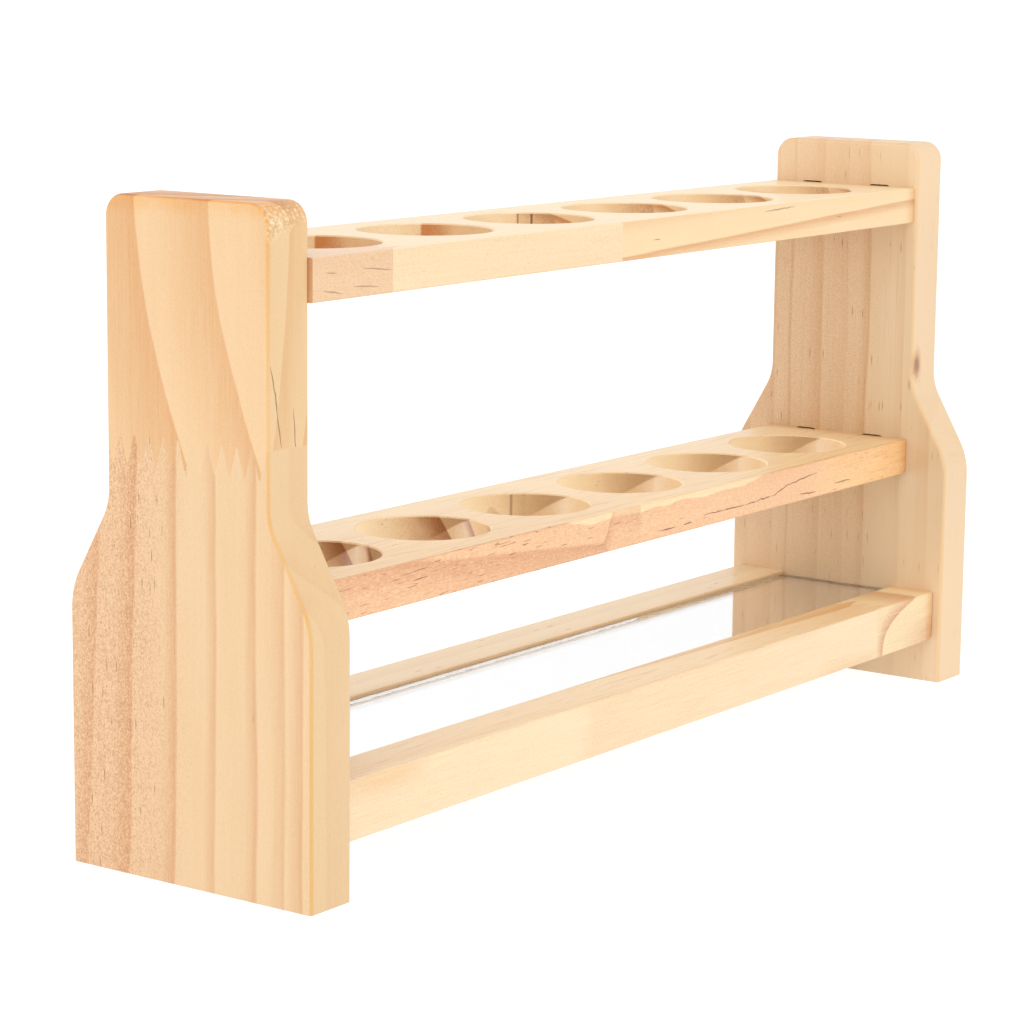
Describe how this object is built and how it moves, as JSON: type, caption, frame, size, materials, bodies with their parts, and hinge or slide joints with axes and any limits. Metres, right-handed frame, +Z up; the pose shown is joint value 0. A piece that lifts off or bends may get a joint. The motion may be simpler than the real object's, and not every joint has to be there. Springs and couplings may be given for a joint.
{
  "type": "bottle and tube rack",
  "caption": "Pine rack with two shaped ends, two shelves with round holes in line and a mirror strip between two low rails.",
  "frame": {"origin": "middle of the base, on the surface that the rack stands on", "axes": "+X along the rack's length, -Y is its front, +Z up"},
  "size_m": [0.365, 0.086, 0.1885],
  "materials": {
    "pine": "clear satin varnish",
    "mirror_glass": "polished, cut edges",
    "silvering": "silvered"
  },
  "bodies": {
    "root": {"left_panel_lower_block": "pine", "left_panel_upper_block": "pine", "right_panel": "pine", "upper_shelf_left_block": "pine", "upper_shelf_middle_block": "pine", "upper_shelf_right_block": "pine", "middle_shelf_left_block": "pine", "middle_shelf_right_block": "pine", "back_rail": "pine", "front_rail_left_block": "pine", "front_rail_right_block": "pine", "mirror_glass": "mirror_glass", "mirror_backing": "silvering"}
  },
  "joints": []
}
